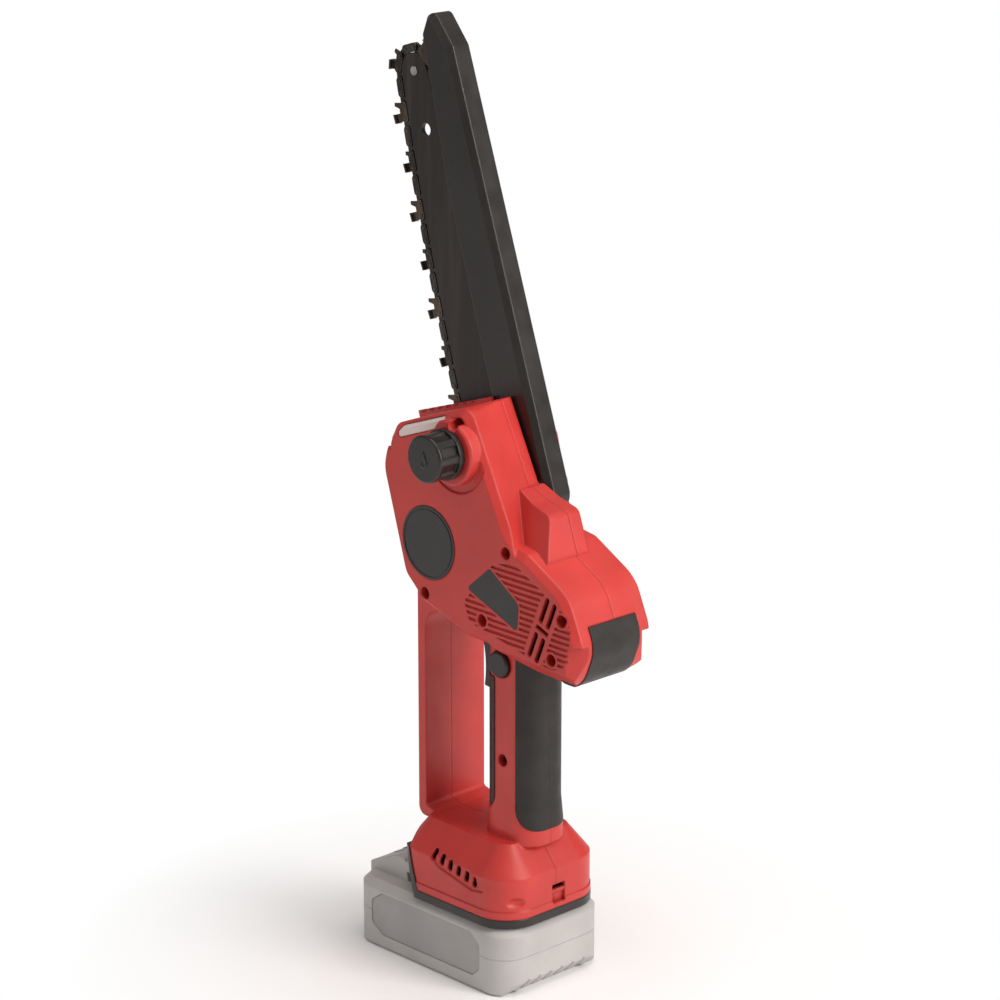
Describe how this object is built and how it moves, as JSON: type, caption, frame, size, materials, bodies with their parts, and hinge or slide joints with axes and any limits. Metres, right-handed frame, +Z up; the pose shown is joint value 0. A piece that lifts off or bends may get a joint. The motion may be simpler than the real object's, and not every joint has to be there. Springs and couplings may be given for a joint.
{
  "type": "cordless pruning chainsaw",
  "caption": "One-hand cordless pruning chainsaw standing on its slide-on battery, with a closed finger bow, a short bar with a pivoting chain guard, and an oil cap.",
  "frame": {"origin": "centre of the battery's flat underside", "axes": "+Z up along the grip; +X to the rear of the saw, where the motor is; +Y to the side that carries the bar and chain"},
  "size_m": [0.1837, 0.0888, 0.4927],
  "materials": {
    "bar_black": "black coated ground steel",
    "battery_grey": "textured moulded plastic, grey",
    "battery_panel": "bare smooth panel stock",
    "black_plastic": "fine textured moulded plastic",
    "blued_steel": "oiled dark steel",
    "board_green": "printed board",
    "casing_red": "satin moulded plastic",
    "cast_alloy": "die cast",
    "cell_steel": "cell can",
    "contact_brass": "bright contact metal",
    "copper_windings": "laminations and windings, stated as one material",
    "grip_rubber": "soft overmoulded rubber",
    "label_black": "bare badge and plate stock",
    "magnet": "sintered ferrite",
    "plated_steel": "zinc plated",
    "seal_rubber": "plain rubber",
    "tank_plastic": "milky translucent plastic"
  },
  "bodies": {
    "saw": {"left_casing": "casing_red", "right_casing": "casing_red", "battery_rail": "black_plastic", "left_grip_pad": "grip_rubber", "right_grip_pad": "grip_rubber", "front_grip_strip": "grip_rubber", "rear_bumper": "grip_rubber", "housing_screws": "blued_steel", "side_badge": "label_black", "rating_plate": "label_black", "oil_tank": "tank_plastic", "oil_pump": "black_plastic", "oil_line": "seal_rubber", "motor_can": "plated_steel", "motor_magnets": "magnet", "motor_end_cap": "black_plastic", "gear_case": "cast_alloy", "gear_case_cover": "cast_alloy", "left_bearing": "plated_steel", "right_bearing": "plated_steel", "chain_drive_links": "blued_steel", "chain_tie_straps": "blued_steel", "chain_cutters": "plated_steel", "chain_rivets": "plated_steel", "bar_stud": "plated_steel", "side_cover": "casing_red", "guard_pin": "plated_steel", "guard_spring": "plated_steel", "trigger_switch": "black_plastic", "control_board": "board_green", "power_leads": "seal_rubber", "terminal_block": "black_plastic", "terminal_blades": "contact_brass"},
    "oil_cap": {"oil_cap": "black_plastic"},
    "cap_lift": {"cap_seal": "seal_rubber"},
    "armature": {"motor_armature": "copper_windings", "motor_fan": "black_plastic", "bevel_pinion": "blued_steel"},
    "sprocket": {"sprocket_shaft": "plated_steel", "bevel_gear": "blued_steel", "drive_sprocket": "blued_steel", "sprocket_clip": "blued_steel"},
    "bar": {"guide_bar": "bar_black", "nose_rivet": "plated_steel", "tension_block": "plated_steel"},
    "nose_star": {"nose_sprocket": "blued_steel"},
    "tension_screw": {"tension_screw": "plated_steel"},
    "bar_nut": {"bar_nut": "plated_steel"},
    "bar_washer": {"bar_washer": "plated_steel"},
    "chain_guard": {"chain_guard": "black_plastic"},
    "trigger": {"trigger": "black_plastic"},
    "lock_off_button": {"lock_off_button": "black_plastic"},
    "battery": {"battery_lower_case": "battery_grey", "battery_upper_case": "battery_grey", "battery_cells": "cell_steel", "battery_board": "board_green", "battery_terminals": "contact_brass", "battery_label": "battery_panel", "battery_screws": "blued_steel"},
    "battery_latch": {"battery_latch": "battery_grey"}
  },
  "joints": [
    {"name": "trigger_pull", "type": "slide", "parent": "saw", "child": "trigger", "axis": [1, 0, 0], "range_m": [0, 0.005], "stiffness_N_per_m": 900, "springref_m": -0.002},
    {"name": "lock_off_press", "type": "slide", "parent": "saw", "child": "lock_off_button", "axis": [0, 1, 0], "range_m": [0, 0.0022], "stiffness_N_per_m": 900, "springref_m": -0.001},
    {"name": "cap_lift", "type": "slide", "parent": "saw", "child": "cap_lift", "axis": [0, -1, 0], "range_m": [0, 0.0045]},
    {"name": "cap_turn", "type": "hinge", "parent": "cap_lift", "child": "oil_cap", "pos_m": [0.0145, -0.045, 0.2836], "axis": [0, -1, 0], "range_deg": [0, 540]},
    {"name": "guard_swing", "type": "hinge", "parent": "saw", "child": "chain_guard", "pos_m": [0.03281, 0.018, 0.26133], "axis": [0, 1, 0], "range_deg": [0, 45], "stiffness_Nm_per_rad": 0.2, "springref_deg": -17.19},
    {"name": "drive_spin", "type": "hinge", "parent": "saw", "child": "sprocket", "pos_m": [0.00585, 0, 0.23648], "axis": [0, 1, 0], "continuous": true, "deforming": ["chain_drive_links"]},
    {"name": "motor_spin", "type": "hinge", "parent": "saw", "child": "armature", "pos_m": [0.04142, -0.0065, 0.2182], "axis": [0.8894, 0, -0.4571], "continuous": true},
    {"name": "bar_slide", "type": "slide", "parent": "saw", "child": "bar", "axis": [-0.289, 0, 0.9573], "range_m": [-0.004, 0]},
    {"name": "nose_spin", "type": "hinge", "parent": "bar", "child": "nose_star", "pos_m": [-0.062, 0.016, 0.4612], "axis": [0, 1, 0], "continuous": true},
    {"name": "tension_turn", "type": "hinge", "parent": "saw", "child": "tension_screw", "pos_m": [-0.01614, 0.02135, 0.26431], "axis": [-0.289, 0, 0.9573], "range_deg": [0, 1800]},
    {"name": "nut_lift", "type": "slide", "parent": "saw", "child": "bar_washer", "axis": [0, 1, 0], "range_m": [0, 0.0025]},
    {"name": "nut_turn", "type": "hinge", "parent": "bar_washer", "child": "bar_nut", "pos_m": [-0.00629, 0.033, 0.27669], "axis": [0, 1, 0], "range_deg": [0, 720]},
    {"name": "battery_slide", "type": "slide", "parent": "saw", "child": "battery", "axis": [-1, 0, 0], "range_m": [0, 0.078]},
    {"name": "latch_press", "type": "slide", "parent": "battery", "child": "battery_latch", "axis": [0, 0, -1], "range_m": [0, 0.003], "stiffness_N_per_m": 900, "springref_m": -0.001}
  ],
  "couplings": [
    {"joint": "cap_turn", "follows": "cap_lift", "rad_per_m": 2094.4},
    {"joint": "motor_spin", "follows": "drive_spin", "ratio": 3},
    {"joint": "nose_spin", "follows": "drive_spin", "ratio": 1.3333},
    {"joint": "tension_turn", "follows": "bar_slide", "rad_per_m": -7854},
    {"joint": "nut_turn", "follows": "nut_lift", "rad_per_m": 5026.5}
  ]
}
